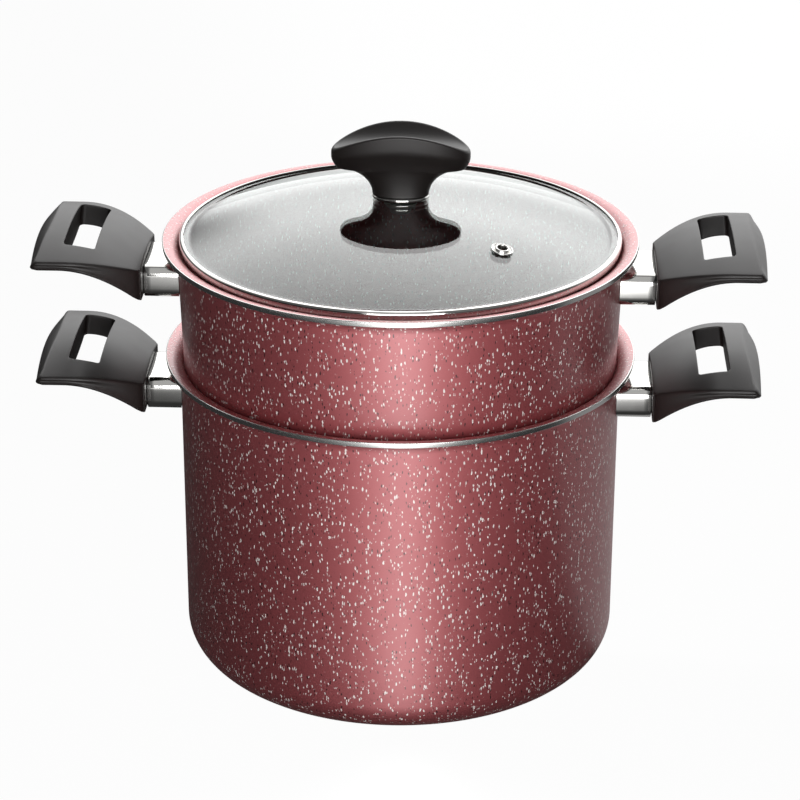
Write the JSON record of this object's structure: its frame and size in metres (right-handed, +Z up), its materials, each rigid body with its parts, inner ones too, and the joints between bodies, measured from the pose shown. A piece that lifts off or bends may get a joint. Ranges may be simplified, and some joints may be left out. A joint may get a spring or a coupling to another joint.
{
  "type": "couscoussier",
  "caption": "Two-tier steam cooker: a flared stockpot with a perforated steamer in its mouth, side handles with finger windows and a domed glass lid with a wing knob.",
  "frame": {"origin": "centre of the pot's flat base, on the surface that it stands on", "axes": "+Z up along the pot's axis, +X along the side handles and the lid's knob, -Y towards the front with the steam vent"},
  "size_m": [0.3996, 0.262, 0.3087],
  "materials": {
    "speckled_coating": "satin",
    "bare_aluminium": "satin",
    "polished_steel": "polished",
    "screw_steel": "satin",
    "bakelite": "satin",
    "clear_glass": "gloss",
    "insert_brass": "satin",
    "silicone": "matte"
  },
  "bodies": {
    "pot": {"pot_shell": "speckled_coating", "pot_handle_right": "bakelite", "pot_handle_left": "bakelite", "pot_flame_guard_right": "polished_steel", "pot_flame_guard_left": "polished_steel", "pot_weld_stud_right": "bare_aluminium", "pot_weld_stud_left": "bare_aluminium", "pot_handle_screw_right": "screw_steel", "pot_handle_screw_left": "screw_steel"},
    "steamer": {"steamer_shell": "speckled_coating", "steamer_handle_right": "bakelite", "steamer_handle_left": "bakelite", "steamer_flame_guard_right": "polished_steel", "steamer_flame_guard_left": "polished_steel", "steamer_weld_stud_right": "bare_aluminium", "steamer_weld_stud_left": "bare_aluminium", "steamer_handle_screw_right": "screw_steel", "steamer_handle_screw_left": "screw_steel"},
    "lid": {"lid_glass": "clear_glass", "lid_band": "polished_steel", "vent_eyelet": "polished_steel", "lid_knob": "bakelite", "knob_collar": "polished_steel", "knob_insert": "insert_brass", "knob_screw": "screw_steel", "knob_washer": "screw_steel", "knob_gasket": "silicone"}
  },
  "joints": [
    {"name": "steamer_lift", "type": "slide", "parent": "pot", "child": "steamer", "axis": [0, 0, 1], "range_m": [0, 0.2]},
    {"name": "lid_lift", "type": "slide", "parent": "steamer", "child": "lid", "axis": [0, 0, 1], "range_m": [0, 0.15]}
  ]
}
